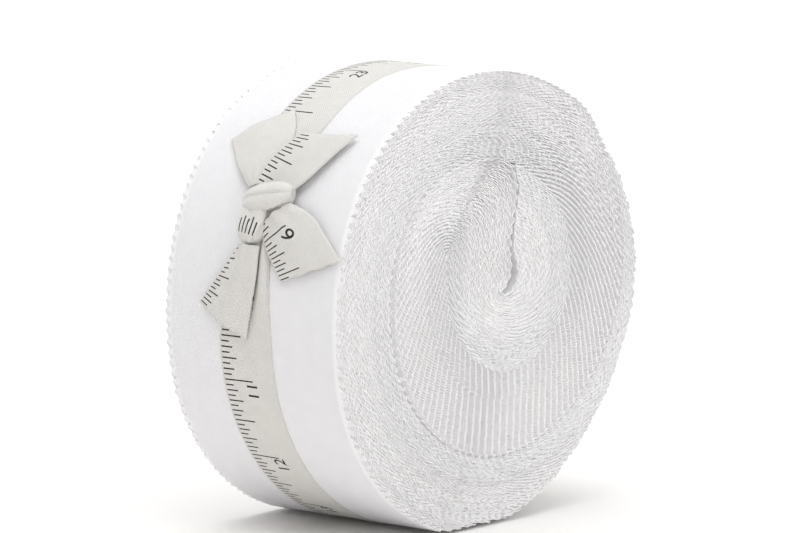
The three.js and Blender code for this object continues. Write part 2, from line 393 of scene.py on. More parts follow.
SKIN = 0.14                        # how far inside the stack its first and last layers lie
DEPTHS = SKIN + np.arange(LAYERS) * (STACK_DEPTH - 2 * SKIN) / (LAYERS - 1)
print("cloth from the fold to below the core:", round(BEFORE_BOTTOM, 1), "mm")
for depth in (0.0, 6.0, 12.0, 18.0, 24.0):
    points, cloth = layer_path(depth)
    start, end = (np.array([np.interp(at, cloth, points[:, k]) for k in (0, 1)])
                  for at in (0.0, HALF_LENGTH))
    print("depth", depth, "starts at", start.round(1), "ends at", end.round(1),
          "and was", round(folded_end(depth) - BEFORE_BOTTOM, 1), "mm longer")

# %% [markdown]
# ## Where the teeth come
#
# Every tooth along a strip's two long edges is a real point of cloth. Teeth could
# be cut out of a smooth edge afterwards, but here each layer is given its points
# just where its teeth are. A bend that is tighter than the teeth gets more
# points, so the cloth stays round there.
#
# Straight below the core the teeth are in line and make ridges. Further round
# the roll each layer has crept a little on its own, so there the teeth make a
# grain.

# %% Points along one layer
# Place along one tooth, and the share of the notch's depth there.
TOOTH = [(0.0, 0.0), (0.6, 0.0), (1.5, 1.0), (2.35, 1.0)]
IN_LINE_WITHIN = 45.0              # the teeth are in line this far from the place below the core
CREEP_OVER = 65.0                  # this much further on they are off by the layer's own creep
MOST_CREEP = 1.3                   # and they get no further off beyond this many times as far
SCATTER = 0.08                     # how far a single tooth is off its place
CREPT_SCATTER = 0.09               # and how much more where the layers have crept
FINE_STEP = 0.25                   # for reading the path
LEAST_GAP = 0.2                    # between two points of cloth
MOST_BEND = 16.0                   # degrees from one point to the next


def stations(depth, slip, creep=0.0):
    """Lengths of cloth where a layer gets points, the points, and how deep the notch is there."""
    points, cloth = layer_path(depth)
    fine = np.arange(0.0, HALF_LENGTH, FINE_STEP)
    path = np.stack([np.interp(fine, cloth, points[:, k]) for k in (0, 1)], 1)
    way = np.gradient(path, axis=0)
    heading = np.unwrap(np.arctan2(way[:, 1], way[:, 0]))
    lengths, notches = [0.0], [0.0]
    for k in range(1, int(HALF_LENGTH / TOOTH_PITCH) * len(TOOTH)):
        place, notch = TOOTH[k % len(TOOTH)]
        far = k // len(TOOTH) * TOOTH_PITCH + place
        past = far - BEFORE_BOTTOM
        loose = min(max((abs(past) - IN_LINE_WITHIN) / CREEP_OVER, 0.0), MOST_CREEP) ** 2
        far += slip + creep * loose + rng.normal(0, SCATTER + CREPT_SCATTER * min(loose, 1.0))
        if far < lengths[-1] + LEAST_GAP or far > HALF_LENGTH - LEAST_GAP:
            continue
        near, was = lengths[-1], notches[-1]
        bend = abs(np.interp(far, fine, heading) - np.interp(near, fine, heading))
        pieces = max(1, math.ceil(bend / math.radians(MOST_BEND)))
        for j in range(1, pieces + 1):
            lengths.append(near + (far - near) * j / pieces)
            notches.append(was + (notch - was) * j / pieces)
    lengths = np.array(lengths)
    at = np.stack([np.interp(lengths, fine, path[:, k]) for k in (0, 1)], 1)
    return lengths, at, np.array(notches)


print("teeth on each edge of a strip:", 2 * int(HALF_LENGTH / TOOTH_PITCH))

# %% [markdown]
# ## How one strip lies
#
# A strip comes in along one layer from its outer end, turns round in its fold
# at the core and goes out again along the next layer. Every layer has its own
# creep, drawn at random. Only the last strip keeps its two layers in line,
# because its teeth are the ones that show along the rim.

# %% Line of one strip
WANDER = 1.3                       # how far a layer's own creep takes its teeth
IN_LINE = 0.83                     # creep from layer to layer that keeps the rim's teeth in line
SECOND_LAYER_SLIP = 0.15           # the outer layer of a strip lies this much ahead


def strip_line(number, slip):
    """Cloth from the fold, less than 0 on the way in, the strip's middle line, and its notches."""
    creep = rng.normal(0, WANDER, 2)
    if number == STRIPS - 1:
        creep = IN_LINE * np.array([-2, -1])
    inner = stations(DEPTHS[2 * number], slip, creep[0])
    outer = stations(DEPTHS[2 * number + 1], slip + SECOND_LAYER_SLIP, creep[1])
    cloth, line, notch = (np.concatenate([b[::-1], a]) for a, b in zip(inner, outer))
    cloth[:len(outer[0])] *= -1
    return cloth, line, notch


print("creep of the last strip's layers:", (IN_LINE * np.array([-2, -1])).round(2), "mm")

# %% [markdown]
# ## The pinked edges
#
# The teeth are crisp below the core. Further round they have been handled more,
# so they are flatter and less even. On the last strip they stay crisp, as on
# the real rim. Along the seam between the turns the first strips lie back,
# which makes a line of shade.

# %% Edges of one strip
CRISP_MIDDLE = 20.0                # the crisp stretch's middle, past the place below the core
CRISP_HALF = 60.0                  # and half its length
FLATTER_OVER = 60.0                # beyond it the teeth get flatter over this length ...
FLATTER = 0.5                      # ... and lose this share of their depth
EDGE_SCATTER = 0.07                # how uneven the cut edge is
FLATTER_SCATTER = 0.7              # share by which it is more uneven where the teeth are flat
LAST_CRISP_FROM = -110.0           # the last strip's teeth are crisp from here on ...
LAST_CRISP = 1.15                  # ... and this many times as deep
SEAM_DIP = {0: 1.2, 1: 0.8, 2: 0.4}                      # strip: how far it lies back on the second turn
SEAM_DIP_FROM = 120.0              # past the place below the core it starts to
SEAM_DIP_OVER = 40.0               # and over this length it gets there


def strip_edges(number, shift, cloth, notch):
    """The y of a strip's front edge and of its back edge, at each point of its line."""
    past = np.abs(cloth) - BEFORE_BOTTOM
    flatter = np.clip((np.abs(past - CRISP_MIDDLE) - CRISP_HALF) / FLATTER_OVER, 0, 1)
    uneven = rng.normal(0, EDGE_SCATTER, (2, len(cloth))) * (1 + FLATTER_SCATTER * flatter)
    deep = 1 - FLATTER * flatter
    if number == STRIPS - 1:
        deep = np.where(past > LAST_CRISP_FROM, LAST_CRISP, deep)
    wave = TOOTH_DEPTH * notch * deep
    shift = shift + SEAM_DIP.get(number, 0.0) * np.clip((past - SEAM_DIP_FROM) / SEAM_DIP_OVER, 0, 1)
    half = STRIP_WIDTH / 2
    return -half + wave + shift + uneven[0], half - wave + shift + uneven[1]


print("notches", TOOTH_DEPTH, "mm deep, where the teeth are flat", TOOTH_DEPTH * (1 - FLATTER), "mm")

# %% [markdown]
# ## Where the tape presses
#
# The tape is pulled tight, so it lies in a shallow dent. The three strips on
# the outside are pressed in, each a little more than the one below it.

# %% Dent under the tape
PRESSED_STRIPS = 3
PRESS = 0.1                        # how much further each strip is pressed in than the one below it
PRESS_FADE = 4.0                   # width of the slope beside the tape


def tape_press(number, y):
    """How far the tape presses a strip in, at a distance y along the roll's axis."""
    order = max(number - STRIPS + PRESSED_STRIPS + 1, 0)
    away = np.abs(y - TAPE_MIDDLE) - TAPE_WIDTH / 2
    return PRESS * order * np.clip(0.5 - away / PRESS_FADE, 0.0, 1.0)


print("pressed in under the tape:", [round(tape_press(k, TAPE_MIDDLE), 2) for k in range(36, STRIPS)], "mm")

# %% [markdown]
# ## A strip as a mesh
#
# Each strip is one closed mesh with a real thickness, so it has two sides, two
# long edges and two ends. Every face has four corners, and each corner is the
# number of a point.

# %% Faces of one strip
def quads(*corners):
    """Faces of four corners each, from four arrays of point numbers."""
    return np.stack(np.broadcast_arrays(*corners), -1).reshape(-1, 4)


def ribbon_faces(count, width):
    """The two sides, the two long edges and the two ends of a closed strip."""
    def at(i, side, j):
        return (i * 2 + side) * width + j

    i, last, end = np.arange(count - 1), width - 1, count - 1
    faces = []
    for j in range(last):
        k = j + 1
        faces.append(quads(at(i, 0, j), at(i + 1, 0, j), at(i + 1, 0, k), at(i, 0, k)))
        faces.append(quads(at(i, 1, j), at(i, 1, k), at(i + 1, 1, k), at(i + 1, 1, j)))
    faces.append(quads(at(i, 0, 0), at(i, 1, 0), at(i + 1, 1, 0), at(i + 1, 0, 0)))
    faces.append(quads(at(i, 0, last), at(i + 1, 0, last), at(i + 1, 1, last), at(i, 1, last)))
    j = np.arange(last)
    faces.append(quads(at(0, 0, j), at(0, 0, j + 1), at(0, 1, j + 1), at(0, 1, j)))
    faces.append(quads(at(end, 0, j), at(end, 1, j), at(end, 1, j + 1), at(end, 0, j + 1)))
    return np.concatenate(faces)


print("a strip with 2 columns and 100 points along it has", len(ribbon_faces(100, 2)), "faces")

# %% [markdown]
# ## The points of a strip
#
# The points lie on both sides of the strip's line, from the front edge to the
# back edge. The pressed strips also get columns of points across their width,
# or they couldn't bend in under the tape.

# %% Points of one strip
PRESSED_COLUMNS = [-24, -14, -9.5, -7.5, -5, 2, 9, 11.5, 13.5, 18, 26]      # y


def strip_mesh(number, shift, slip):
    """Points, faces and flat places of one strip."""
    cloth, line, notch = strip_line(number, slip)
    front, rear = strip_edges(number, shift, cloth, notch)
    way = np.gradient(line, axis=0)
    way /= np.hypot(way[:, 0], way[:, 1])[:, None]
    normal = np.stack([way[:, 1], -way[:, 0]], 1)
    outside = number >= STRIPS - PRESSED_STRIPS
    between = [np.full(len(cloth), float(y)) for y in (PRESSED_COLUMNS if outside else [])]
    columns = [front, *between, rear]
    rings = []
    for side in (1, -1):
        for y in columns:
            at = line + normal * side * CLOTH / 2
            if outside:
                toward = at / np.hypot(at[:, 0], at[:, 1])[:, None]
                at = at - toward * tape_press(number, y)[:, None]
            rings.append(np.stack([at[:, 0] + AXIS_X, y, at[:, 1] + AXIS_HEIGHT], 1))
    flat = np.zeros((len(cloth), 2, len(columns), 2))
    flat[..., 0] = cloth[:, None, None]
    flat[..., 1] = (np.stack(columns, 1) + STRIP_WIDTH / 2)[:, None, :]
    vertices = np.stack(rings, 1).reshape(-1, 3)         # point of the line, then side and column
    return vertices, ribbon_faces(len(cloth), len(columns)), flat.reshape(-1, 2) * MM


print("faces across a strip: 2, or", 2 * len(PRESSED_COLUMNS) + 2, "on a pressed one")

# %% [markdown]
# ## From numbers to an object
#
# Blender takes a mesh as lists of points and faces. Where each point lies on
# the flat cloth goes along as a UV map called cloth, in metres. With that map
# the weave can follow the threads, however the cloth is bent.

# %% Make an object from points and faces
def mesh_object(name, vertices, faces, flat, smooth=True):
    mesh = bpy.data.meshes.new(name)
    mesh.from_pydata((np.asarray(vertices) * MM).tolist(), [], [list(face) for face in faces])
    layer = mesh.uv_layers.new(name="cloth")
    corner_of = np.zeros(len(mesh.loops), int)
    mesh.loops.foreach_get("vertex_index", corner_of)
    layer.data.foreach_set("uv", np.asarray(flat, np.float32)[corner_of].ravel())
    mesh.polygons.foreach_set("use_smooth", np.full(len(mesh.polygons), smooth))
    mesh.validate()
    mesh.update()
    piece = bpy.data.objects.new(name, mesh)
    bpy.context.scene.collection.objects.link(piece)
    return piece


# %% [markdown]
# ## Forty strips, one on the other
#
# No two strips lie quite alike. Each is a little to one side of the one before,
# as a stack is that was tapped even by hand, and its teeth are a fraction of a
# millimetre ahead or behind. The random numbers have a fixed seed, so the roll
# is the same each time. From one layer on the edges lie half a millimetre
# further in, which is the step that shows on the face. The last strip stands
# proud, and beside the first ones, which lie back, it makes the seam's row of
# small dark notches.

# %% Lay down the forty strips
STEP_LAYER = 7.5                   # depth where the rolled edges step sideways
STEP_SIDE = 0.45                   # how far they step
LAST_PROUD = 0.35                  # how far the last strip stands out
SIDE_CREEP = 0.0225                # how far a strip drifts to one side of the one before
SIDE_SCATTER = 0.05                # and how far it is off that drift by itself
SLIP_CREEP = 0.05                  # how far its teeth drift ahead or behind


def walk(step):
    """Random steps from strip to strip that end where they began."""
    places = np.cumsum(rng.normal(0, step, STRIPS))
    return places - np.linspace(places[0], places[-1], STRIPS)


strips = []
drift = walk(SIDE_CREEP)
slips = walk(SLIP_CREEP)
for number in range(STRIPS):
    step = STEP_SIDE if DEPTHS[2 * number] > STEP_LAYER else 0.0
    if number == STRIPS - 1:
        step = -LAST_PROUD
    shift = drift[number] + rng.normal(0, SIDE_SCATTER) + step
    shape = strip_mesh(number, shift, slips[number])
    strips.append(mesh_object(f"strip_{number + 1:02d}", *shape, smooth=False))
triangles = sum(2 * len(s.data.polygons) for s in strips)
print(len(strips), "strips,", triangles, "triangles")

# %% [markdown]
# ## The surface the tape lies on
#
# The tape is pulled tight round the finished roll, so it follows whatever cloth
# is outermost at each angle. That is measured from the layers themselves. The
# stack thins out at the lower right, where the layers end one after another,
# and the tape follows that step by step too.

# %% Measure the outside of the roll
KNOT_ANGLE = 152.5
BRIDGED = 3                        # rounds of smoothing, as the tape bridges small hollows


def measured_outside():
    """Radius of the outermost cloth at each whole degree, pressed in by the tape."""
    widest = np.zeros(361)
    for layer, depth in enumerate(DEPTHS):
        at = stations(depth, 0.0)[1]
        angle = np.degrees(np.arctan2(at[:, 1], at[:, 0])) % 360
        pressed = tape_press(layer // 2, TAPE_MIDDLE)
        np.maximum.at(widest, np.round(angle).astype(int), np.hypot(at[:, 0], at[:, 1]) - pressed)
    widest[0] = widest[360] = max(widest[0], widest[360])
    for _ in range(BRIDGED):
        ring = widest[:-1]
        ring = np.maximum(ring, 0.5 * (np.roll(ring, 1) + np.roll(ring, -1)))
        ring = 0.5 * ring + 0.25 * (np.roll(ring, 1) + np.roll(ring, -1))
        widest = np.append(ring, ring[0])
    return widest + CLOTH / 2


OUTSIDE = measured_outside()


def outside_radius(angle):
    return np.interp(np.asarray(angle) % 360, np.arange(361), OUTSIDE)


KNOT_RADIUS = float(outside_radius(KNOT_ANGLE))


def on_roll(y, climb, lift):
    """A point beside the knot: y along the roll's axis, climb up its side, lift off it."""
    y, climb, lift = np.broadcast_arrays(*(np.asarray(a, float) for a in (y, climb, lift)))
    angle = KNOT_ANGLE - np.degrees(climb / KNOT_RADIUS)
    radius = outside_radius(angle) + lift
    a = np.radians(angle)
    return np.stack([radius * np.cos(a) + AXIS_X, y, radius * np.sin(a) + AXIS_HEIGHT], -1)


print("outside radius at the knot", round(KNOT_RADIUS, 1), "mm; least and most",
      OUTSIDE.min().round(1), OUTSIDE.max().round(1))

# %% [markdown]
# ## The tape as a two-sided sheet
#
# Every part of the tape is a sheet with two sides and a real thickness, made
# from a grid of points. A flat sheet thickened by a modifier would do as well,
# but here the printed side, its normals and its flat lengths are needed again,
# for the numbers. So they are worked out once and kept.

# %% A two-sided sheet from a grid of points
SHEETS = {}                        # name: printed side, its normals, lengths along and across


def grid_normals(points):
    along = np.gradient(points, axis=0)
    across = np.gradient(points, axis=1)
    normal = np.cross(along, across)
    return normal / np.maximum(np.linalg.norm(normal, axis=2), 1e-9)[..., None]


def sheet_faces(rows, columns, closed):
    """Faces of both sides and the edges of a grid, and how many are on the printed side."""
    def at(i, j, side):
        return (side * rows + (i % rows)) * columns + j

    i, j = np.meshgrid(np.arange(rows if closed else rows - 1), np.arange(columns - 1), indexing="ij")
    top = quads(at(i, j, 0), at(i + 1, j, 0), at(i + 1, j + 1, 0), at(i, j + 1, 0))
    under = quads(at(i, j, 1), at(i, j + 1, 1), at(i + 1, j + 1, 1), at(i + 1, j, 1))
    i, j = i[:, 0], j[0]
    last, end = columns - 1, rows - 1
    edges = [quads(at(i, 0, 0), at(i, 0, 1), at(i + 1, 0, 1), at(i + 1, 0, 0)),
             quads(at(i, last, 0), at(i + 1, last, 0), at(i + 1, last, 1), at(i, last, 1))]
    if not closed:
        edges += [quads(at(0, j, 0), at(0, j + 1, 0), at(0, j + 1, 1), at(0, j, 1)),
                  quads(at(end, j, 0), at(end, j, 1), at(end, j + 1, 1), at(end, j + 1, 0))]
    return np.concatenate([top, under, *edges]), len(top)


def tape_sheet(name, points, along, across, marked=None, closed=False):
    """points[row, column] is the middle of the tape; along and across are its flat lengths."""
    normal = grid_normals(points)
    outward = points - np.array([AXIS_X, 0, AXIS_HEIGHT])
    if (normal * outward).sum() < 0:                     # the printed side must face out
        points, along, normal = points[::-1], along[::-1], -normal[::-1]
        marked = None if marked is None else marked[::-1]
    if closed:
        normal[0] = normal[-1] = (normal[0] + normal[-1]) / 2
    top, under = (points + normal * side * TAPE_THICK / 2 for side in (1, -1))
    vertices = np.concatenate([top.reshape(-1, 3), under.reshape(-1, 3)])
    rows, columns = points.shape[:2]
    faces, printed = sheet_faces(rows, columns, closed)
    flat = np.stack(np.meshgrid(along, across, indexing="ij"), -1).reshape(-1, 2)
    piece = mesh_object(name, vertices, faces, np.concatenate([flat, flat]) * MM)
    SHEETS[name] = (top, normal, along, across)
    if marked is not None:
        shown = marked[: rows if closed else rows - 1, : columns - 1].ravel()
        index = np.zeros(len(piece.data.polygons), int)
        index[:printed][shown] = 1                       # the second material is the ink
        piece.data.polygons.foreach_set("material_index", index)
    return piece


print("tape:", TAPE_WIDTH, "mm wide,", TAPE_THICK, "mm thick")

# %% [markdown]
# ## Marks like a ruler's
#
# The tape is a cotton ribbon printed like a ruler, with a mark each sixteenth of
# an inch along one edge. The marks are dyed into the cloth and have no
# thickness, so they aren't bumps: the mesh has a row of faces just where each
# mark is, and those faces get the ink material.

# %% Printed marks
INCH = 25.4
MARK_PITCH = INCH / 16
MARK_WIDTH = 0.42
MARK_LENGTHS = {16: 10.5, 8: 7.6, 4: 5.6, 2: 4.4, 1: 3.2}     # sixteenths: length
MARK_MARGIN = 0.45                 # bare cloth between the marks and the edge
# Places across the tape where a sheet has points. Every mark ends at one of them.
ACROSS = np.array([0.0, MARK_MARGIN, 1.8, 3.2, 4.4, 5.6, 6.6, 7.6, 9.0, 10.5,
                   12.0, 13.4, 14.8, 16.2, 17.4, 18.2, TAPE_WIDTH])
SHARE_ACROSS = ACROSS / TAPE_WIDTH


def marked_rows(start, stop, widest):
    """Lengths of a stretch of tape, with a pair of rows on either side of every mark."""
    rows = [start, stop]
    for k in range(math.ceil(start / MARK_PITCH), math.floor(stop / MARK_PITCH) + 1):
        rows += [k * MARK_PITCH - MARK_WIDTH / 2, k * MARK_PITCH + MARK_WIDTH / 2]
    rows = sorted(r for r in rows if start <= r <= stop)
    dense = []
    for a, b in zip(rows, rows[1:]):
        n = max(1, math.ceil((b - a) / widest))
        dense += [a + (b - a) * k / n for k in range(n)]
    return np.array(dense + [rows[-1]])


def marks_on(along, across):
    """True for each grid cell that lies in a printed mark. across is 0 at the marked edge."""
    middle = (along[:-1] + along[1:]) / 2
    number = np.round(middle / MARK_PITCH).astype(int)
    inside = np.abs(middle - number * MARK_PITCH) < MARK_WIDTH / 2
    length = np.array([next(size for step, size in MARK_LENGTHS.items() if n % step == 0) for n in number])
    cell = (across[:-1] + across[1:]) / 2
    return inside[:, None] & (cell[None, :] > MARK_MARGIN) & (cell[None, :] < length[:, None])


print("marks every", round(MARK_PITCH, 2), "mm")

# %% [markdown]
# ## The band round the roll
#
# The band is a closed ring. Over most of the way it lies flat and 19 mm wide.
# On both sides of the knot it is pulled together to half its width, so the
# cloth there has nowhere to go but up, in three lengthwise pleats.

# %% Band
BAND_INCH_ANGLE = 196.6            # where one of the inch marks is
BAND_ROW = 1.6                     # most distance from one row of points to the next
RING_GAP = 0.8                     # from the last row back to the first
GATHERED = 0.48                    # share of its width that the tape keeps beside the knot
BELOW_KNOT = (9.0, 27.0)           # degrees below the knot to where it opens, and over which it opens
ABOVE_KNOT = (6.0, 20.0)           # the same above the knot
GATHERED_Y = -0.6                  # middle of the gathered tape
PLEATS = 3
PLEAT_HEIGHT = 1.7
RIPPLE = 0.10                      # height of the gentle ripple, six times round
TAPE_BITE = 0.10                   # how deep the tape lies in the cloth


def opened(angle):
    """0 where the tape is gathered at the knot, 1 where it is open."""
    below = (angle - KNOT_ANGLE - BELOW_KNOT[0]) / BELOW_KNOT[1]
    above = (KNOT_ANGLE - ABOVE_KNOT[0] - angle) / ABOVE_KNOT[1]
    return ease(np.where(angle > KNOT_ANGLE, below, above))


def band():
    fine = np.arange(0, 360.01, 0.25)
    path = polar(outside_radius(fine), fine)
    travelled = np.concatenate([[0], np.cumsum(np.hypot(*np.diff(path, axis=0).T))])
    length = travelled[-1]
    knot_at = np.interp(KNOT_ANGLE, fine, travelled)
    inch_at = np.interp(BAND_INCH_ANGLE, fine, travelled) - knot_at
    first = -inch_at % INCH                              # where the ruler's scale is at the knot
    along = marked_rows(first, first + length - RING_GAP, BAND_ROW)
    angle = np.interp((knot_at + along - first) % length, travelled, fine)
    spread = opened(angle)
    width = TAPE_WIDTH * (GATHERED + (1 - GATHERED) * spread)
    middle = TAPE_MIDDLE * spread + GATHERED_Y * (1 - spread)
    y = middle[:, None] + width[:, None] * (0.5 - SHARE_ACROSS)
    pleat = np.abs(np.sin(PLEATS * math.pi * SHARE_ACROSS + 0.3)) * (PLEAT_HEIGHT * (1 - spread))[:, None]
    ripple = RIPPLE * np.sin(np.radians(6 * angle))[:, None] * np.cos(2 * math.pi * SHARE_ACROSS)
    radius = outside_radius(angle)[:, None] - TAPE_BITE + TAPE_THICK / 2 + pleat + ripple
    a = np.radians(angle)[:, None]
    points = np.stack([radius * np.cos(a) + AXIS_X, y, radius * np.sin(a) + AXIS_HEIGHT], -1)
    marked = np.vstack([marks_on(along, ACROSS), np.zeros((1, len(ACROSS) - 1), bool)])
    return tape_sheet("tape_band", points, along, ACROSS, marked, closed=True), length


tape_band, band_length = band()
print("tape round the roll:", round(band_length), "mm")

# %% [markdown]
# ## The four free ends
#
# Each end is a short flap that comes out of the knot narrow and pleated and
# opens to the tape's full width at its cut. Its outline is a short table of its
# two edges: y along the roll, climb up the roll's side, and lift off it.

# %% Outlines of the free ends
# The two edges are points (y, climb, lift) from the knot to the cut. The crease
# runs between them, so high, and at that share of the way across.
END_EDGES = {
    "upper_right": dict(
        marked=[(2.6, 3.4, 4.6), (0.9, 10.0, 4.8), (-1.6, 15.2, 4.4), (-4.3, 20.3, 3.6)],
        plain=[(-7.6, 1.5, 2.4), (-12.9, 7.0, 2.4), (-17.6, 14.4, 2.2), (-22.0, 22.6, 1.8)],
        crease=-1.6, crease_at=0.45, first_mark=3.2, inked=True),
    "upper_left": dict(
        marked=[(6.5, 3.0, 2.2), (13.9, 8.9, 1.4), (18.2, 13.6, 1.1), (21.8, 17.5, 0.9)],
        plain=[(-0.5, 4.5, 2.2), (-1.1, 14.0, 1.3), (1.4, 22.8, 1.0), (6.9, 30.5, 0.9)],
        crease=1.4, crease_at=0.45, first_mark=0.0, inked=False),
    "lower_right": dict(
        marked=[(-2.2, -7.0, 2.6), (-4.2, -12.6, 1.8), (-7.4, -17.0, 1.3), (-10.8, -21.5, 1.0)],
        plain=[(-10.4, -0.2, 3.0), (-18.6, -2.9, 2.0), (-25.7, -8.9, 1.4), (-31.2, -14.0, 1.0)],
        crease=1.3, crease_at=0.5, first_mark=19.8, inked=True),
    "lower_left": dict(
        marked=[(4.6, -13.0, 2.4), (9.4, -19.4, 2.0), (14.0, -24.6, 1.5), (18.4, -29.5, 1.0)],
        plain=[(-2.6, -12.6, 2.4), (-2.8, -20.0, 2.2), (-1.3, -28.4, 1.6), (1.1, -38.3, 1.0)],
        crease=2.4, crease_at=0.5, first_mark=2.0, inked=True),
}


def smooth_table(rows, at):
    """A smooth curve through a row of points, with at from 0 to 1."""
    rows = np.array(rows, float)
    place = np.linspace(0, 1, len(rows))
    return np.stack([smooth_through(place, rows[:, k], at) for k in range(rows.shape[1])], 1)


print(len(END_EDGES), "free ends")

# %% [markdown]
# ## Creases and cuts
#
# Between its two edges an end could be a flat sheet, but tape that comes out of
# a knot keeps a crease down its length, and small pleats where it was gathered.
# Its cut is made with scissors, and is neither quite straight nor quite even.

# %% Free ends
END_ROW = 1.0                      # most distance from one row of points to the next
CREASE_LOSS = 0.45                 # share of its height that the crease loses on the way to the cut
END_PLEAT = 0.5                    # height of the small pleats at the knot
END_PLEAT_FADE = 2.2               # they are gone after the end's length divided by this
CUT_SCATTER = 0.16                 # how uneven the cut is
CUT_CURVE = 0.25                   # and how far it is off straight


def free_end(name, marked, plain, crease, crease_at, first_mark, inked):
    middle = (np.array(marked) + np.array(plain)) / 2
    length = np.linalg.norm(np.diff(middle, axis=0)[:, :2], axis=1).sum()
    along = marked_rows(first_mark, first_mark + length, END_ROW)
    t = (along - along[0]) / length
    share = SHARE_ACROSS
    edge_m, edge_p = smooth_table(marked, t), smooth_table(plain, t)
    flat = edge_m[:, None, :] * (1 - share)[:, None] + edge_p[:, None, :] * share[:, None]
    to_edge = np.where(share < crease_at, crease_at, 1 - crease_at)
    tent = np.clip(1 - np.abs(share - crease_at) / to_edge, 0, 1)
    pinch = 1 - CREASE_LOSS * t
    fading = np.clip(1 - END_PLEAT_FADE * t, 0, 1)
    small = END_PLEAT * np.abs(np.sin(PLEATS * math.pi * share)) * fading[:, None]
    lift = flat[..., 2] + crease * tent * pinch[:, None] + small
    wobble = rng.normal(0, CUT_SCATTER, len(ACROSS)) + CUT_CURVE * np.sin(3.0 * share)
    way = edge_m[-1, :2] + edge_p[-1, :2] - edge_m[-4, :2] - edge_p[-4, :2]
    way /= np.hypot(*way)
    flat[-1, :, :2] += wobble[:, None] * way             # only the last row is the cut
    points = on_roll(flat[..., 0], flat[..., 1], lift)
    marks = marks_on(along, ACROSS) if inked else None
    return tape_sheet(f"tape_end_{name}", points, along, ACROSS, marks), length


tape_ends, end_lengths = {}, {}
for end_name, edges in END_EDGES.items():
    tape_ends[end_name], end_lengths[end_name] = free_end(end_name, **edges)
print("free ends:", {k: round(v, 1) for k, v in end_lengths.items()})

# %% [markdown]
# ## The knot
#
# The knot is two wraps of gathered tape. The upper one crosses the band, and
# the lower one is the neck that holds the ends together. Each is a closed form
# with a rounded box for its section, pinched at both ends, and creased along
# the way its cloth runs. A real crease folds over, so it is sharp on one side
# and soft on the other.

# %% Creases of gathered tape
CREASES = 5
CREASE_DEPTH = 0.10                # share of the way from the wrap's surface to its middle
CREASE_DEEPER = 0.08               # by chance up to this much more
SOFT_SIDE = 0.5                    # in radians round the wrap
SHARP_SIDE = 0.06


def crease_depths(around, along, seed):
    """How much each point of a wrap is sunk by its creases."""
    make = np.random.default_rng(seed)
    folds = np.zeros_like(around)
    for k in range(CREASES):
        place = 2 * math.pi * (k + 0.5 + 0.3 * make.normal()) / CREASES + 0.45 * make.normal() * along
        off = (around - place + math.pi) % (2 * math.pi) - math.pi
        depth = CREASE_DEPTH + CREASE_DEEPER * make.random()
        folds -= depth * np.where(off > 0, np.exp(-off / SOFT_SIDE), np.exp(off / SHARP_SIDE))
    return folds


print("creases round each wrap:", CREASES)

# %% [markdown]
# ## The two wraps
#
# Both wraps come from one function, with other sizes and another turn. The neck
# also shows a few of the printed marks, where the marked edge lies in its folds.

# %% Knot
WRAP_STEPS = 49                    # rows of points from tip to tip
WRAP_ROUND = 64                    # points in each row
BOXY = 3.0                         # 2 is a round section, more is nearer to a box
TIP = 2.8                          # 2 is a round tip, more is blunter
SUNK = 0.92                        # share of its half thickness that a wrap's middle lies above the roll


def wrap(name, middle, halves, turn, seed, along_y, marks=()):
    """A pad of gathered tape. middle is (y, climb), halves are half its size in y, climb and out."""
    half_y, half_climb, half_out = halves
    v = np.linspace(-1, 1, WRAP_STEPS)
    u = np.linspace(0, 2 * math.pi, WRAP_ROUND, endpoint=False)
    vv, uu = np.meshgrid(v, u, indexing="ij")
    pinch = (1 - np.abs(vv) ** TIP) ** 0.5
    section = (np.abs(np.cos(uu)) ** BOXY + np.abs(np.sin(uu)) ** BOXY) ** (-1 / BOXY)
    body = section * (1 + crease_depths(uu, vv, seed)) * pinch
    long_half, side_half = (half_y, half_climb) if along_y else (half_climb, half_y)
    a, b = long_half * vv, side_half * body * np.cos(uu)
    out = half_out * body * np.sin(uu)
    y, climb = (a, b) if along_y else (b, a)
    t = math.radians(turn)
    turned_y = y * math.cos(t) - climb * math.sin(t)
    turned_climb = y * math.sin(t) + climb * math.cos(t)
    points = on_roll(middle[0] + turned_y, middle[1] + turned_climb, out + half_out * SUNK)[1:-1]
    i, j = np.meshgrid(np.arange(len(points) - 1), np.arange(WRAP_ROUND), indexing="ij")
    i, j = i.ravel(), j.ravel()
    here, there, k = i * WRAP_ROUND, (i + 1) * WRAP_ROUND, (j + 1) % WRAP_ROUND
    faces = quads(here + j, here + k, there + k, there + j).tolist()
    tip = list(range(WRAP_ROUND))
    faces += [tip[::-1], [(len(points) - 1) * WRAP_ROUND + k for k in tip]]
    flat = np.stack([a[1:-1], uu[1:-1] * side_half], -1).reshape(-1, 2) * MM
    piece = mesh_object(name, points.reshape(-1, 3), faces, flat)
    index = np.zeros(len(piece.data.polygons), int)
    row = v[1:-1][i]
    for column, low, high in marks:
        index[: len(i)][(j == column) & (row > low) & (row < high)] = 1
    piece.data.polygons.foreach_set("material_index", index)
    return piece


# Column of faces, and where the mark starts and ends along the neck.
NECK_MARKS = [(11, -0.62, -0.02), (14, -0.62, 0.12), (17, -0.62, 0.02), (20, -0.62, 0.16), (23, -0.62, 0.0)]
knot_upper = wrap("tape_knot_upper", (-2.6, 0.4), (8.6, 3.9, 3.7), -15, seed=7, along_y=True)
knot_neck = wrap("tape_knot_neck", (0.9, -6.4), (4.7, 6.2, 3.1), 8, seed=8, along_y=False, marks=NECK_MARKS)
print("faces of the knot:", len(knot_upper.data.polygons), "and", len(knot_neck.data.polygons))

# %% [markdown]
# ## The numbers
#
# A ruler has a number at each inch. Like the marks they are dyed into the cloth.
# A number's outline is too fine for the tape's own faces, so it is a text
# turned into a mesh 0.04 mm thick.

# %% A number as a mesh
PRINT_THICK = 0.04


